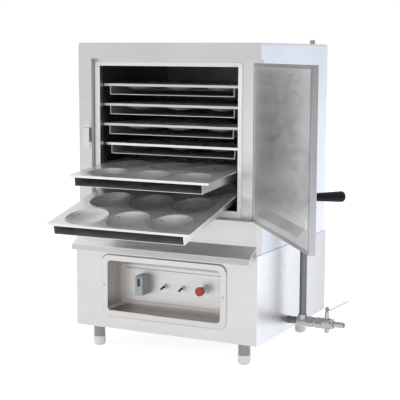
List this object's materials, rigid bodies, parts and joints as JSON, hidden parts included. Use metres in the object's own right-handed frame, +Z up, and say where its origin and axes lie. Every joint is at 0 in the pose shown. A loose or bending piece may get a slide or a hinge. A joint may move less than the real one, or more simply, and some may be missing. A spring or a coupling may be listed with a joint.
{
  "type": "idli steamer cabinet",
  "caption": "Free-standing electric steamer cabinet with side-hung door, slide-in cupped idli trays, recessed controls, drain tap and short legs.",
  "frame": {"origin": "on the floor plane, at the middle of the front left foot's sole", "axes": "+Z up, -Y out of the door side, +X towards the hinge side"},
  "size_m": [0.9749, 1.0004, 0.9335],
  "materials": {
    "stainless": "satin stainless sheet",
    "chamber_steel": "dull stainless sheet",
    "tray_steel": "pressed stainless, satin",
    "gasket_white": "matt white silicone",
    "wool": "mineral wool slab",
    "black_grip": "moulded, semi-gloss",
    "red_cap": "moulded, semi-gloss",
    "grey_case": "moulded, matt",
    "dark_window": "clear cover over a dark display",
    "chrome": "plated",
    "toggle_black": "dark bat",
    "pipe_steel": "polished tube",
    "plated_brass": "nickel plate on brass",
    "white_foot": "moulded nylon",
    "gland_black": "moulded nylon",
    "rod_steel": "turned bar"
  },
  "bodies": {
    "cabinet": {"base_shell": "stainless", "base_floor": "stainless", "leg_tubes": "stainless", "plastic_feet": "white_foot", "control_bezel": "stainless", "bezel_screws": "chrome", "control_recess": "chamber_steel", "control_plate": "stainless", "meter_case": "grey_case", "meter_window": "dark_window", "toggle_collars": "chrome", "button_barrel": "chrome", "drip_canopy": "stainless", "outer_shell": "stainless", "front_fascia": "stainless", "front_strip": "stainless", "door_seat": "stainless", "door_gasket": "gasket_white", "chamber_liner": "chamber_steel", "insulation": "wool", "water_tank": "chamber_steel", "immersion_heater": "rod_steel", "drain_pipe": "pipe_steel", "level_pipe": "pipe_steel", "pipe_tee": "plated_brass", "hex_coupling": "plated_brass", "tap_body": "plated_brass", "hose_nozzle": "plated_brass", "steam_vent": "stainless", "cable_gland": "gland_black", "tray_rails": "stainless", "fixed_rail_pins": "rod_steel", "fixed_hinge_leaves": "stainless", "latch_keeper": "chrome"},
    "door": {"door_outer_pan": "stainless", "door_inner_panel": "stainless", "door_insulation": "wool", "drip_deflector": "stainless", "moving_hinge_leaves": "stainless", "latch_plate": "chrome"},
    "latch": {"latch_bar": "chrome", "latch_grip": "black_grip"},
    "tray_1": {"idli_plate_1": "tray_steel", "tray_pan_1": "tray_steel"},
    "tray_2": {"idli_plate_2": "tray_steel", "tray_pan_2": "tray_steel"},
    "tray_3": {"idli_plate_3": "tray_steel", "tray_pan_3": "tray_steel"},
    "tray_4": {"idli_plate_4": "tray_steel", "tray_pan_4": "tray_steel"},
    "tray_5": {"idli_plate_5": "tray_steel", "tray_pan_5": "tray_steel"},
    "tray_6": {"idli_plate_6": "tray_steel", "tray_pan_6": "tray_steel"},
    "pins_5": {"rail_pins_5": "rod_steel"},
    "pins_6": {"rail_pins_6": "rod_steel"},
    "toggle_1": {"toggle_lever_1": "toggle_black"},
    "toggle_2": {"toggle_lever_2": "toggle_black"},
    "button": {"red_push_button": "red_cap"},
    "tap": {"tap_handle": "chrome"}
  },
  "joints": [
    {"name": "door_hinge", "type": "hinge", "parent": "cabinet", "child": "door", "pos_m": [0.544, -0.029, 0.6435], "axis": [0, 0, -1], "range_deg": [0, 128]},
    {"name": "latch_turn", "type": "hinge", "parent": "door", "child": "latch", "pos_m": [0.85183, -0.42301, 0.6435], "axis": [0.788, 0.6157, 0], "range_deg": [0, 90]},
    {"name": "tray_1_slide", "type": "slide", "parent": "cabinet", "child": "tray_1", "axis": [0, 1, 0], "range_m": [-0.52, 0]},
    {"name": "tray_2_slide", "type": "slide", "parent": "cabinet", "child": "tray_2", "axis": [0, 1, 0], "range_m": [-0.52, 0]},
    {"name": "tray_3_slide", "type": "slide", "parent": "cabinet", "child": "tray_3", "axis": [0, 1, 0], "range_m": [-0.52, 0]},
    {"name": "tray_4_slide", "type": "slide", "parent": "cabinet", "child": "tray_4", "axis": [0, 1, 0], "range_m": [-0.52, 0]},
    {"name": "tray_5_tip", "type": "hinge", "parent": "cabinet", "child": "pins_5", "pos_m": [0.2365, 0.055, 0.5553], "axis": [-1, 0, 0], "range_deg": [0, 5.01]},
    {"name": "tray_5_slide", "type": "slide", "parent": "pins_5", "child": "tray_5", "axis": [0, 0.9962, 0.0872], "range_m": [0, 0.20402]},
    {"name": "tray_6_tip", "type": "hinge", "parent": "cabinet", "child": "pins_6", "pos_m": [0.2365, 0.055, 0.4963], "axis": [-1, 0, 0], "range_deg": [0, 14.01]},
    {"name": "tray_6_slide", "type": "slide", "parent": "pins_6", "child": "tray_6", "axis": [0, 0.9703, 0.2419], "range_m": [0, 0.34781]},
    {"name": "toggle_1_tip", "type": "hinge", "parent": "cabinet", "child": "toggle_1", "pos_m": [0.214, 0.0215, 0.197], "axis": [-1, 0, 0], "range_deg": [0, 25]},
    {"name": "toggle_2_tip", "type": "hinge", "parent": "cabinet", "child": "toggle_2", "pos_m": [0.274, 0.0215, 0.197], "axis": [-1, 0, 0], "range_deg": [0, 25]},
    {"name": "button_push", "type": "slide", "parent": "cabinet", "child": "button", "axis": [0, 1, 0], "range_m": [0, 0.004], "stiffness_N_per_m": 400, "springref_m": -0.002},
    {"name": "tap_turn", "type": "hinge", "parent": "cabinet", "child": "tap", "pos_m": [0.665, 0.201, 0.096], "axis": [0, 0, 1], "range_deg": [0, 90]}
  ],
  "couplings": [
    {"joint": "tray_5_tip", "follows": "door_hinge", "ratio": 0.039062},
    {"joint": "tray_5_slide", "follows": "door_hinge", "m_per_rad": 0.091278},
    {"joint": "tray_6_tip", "follows": "door_hinge", "ratio": 0.10938},
    {"joint": "tray_6_slide", "follows": "door_hinge", "m_per_rad": 0.15565}
  ]
}
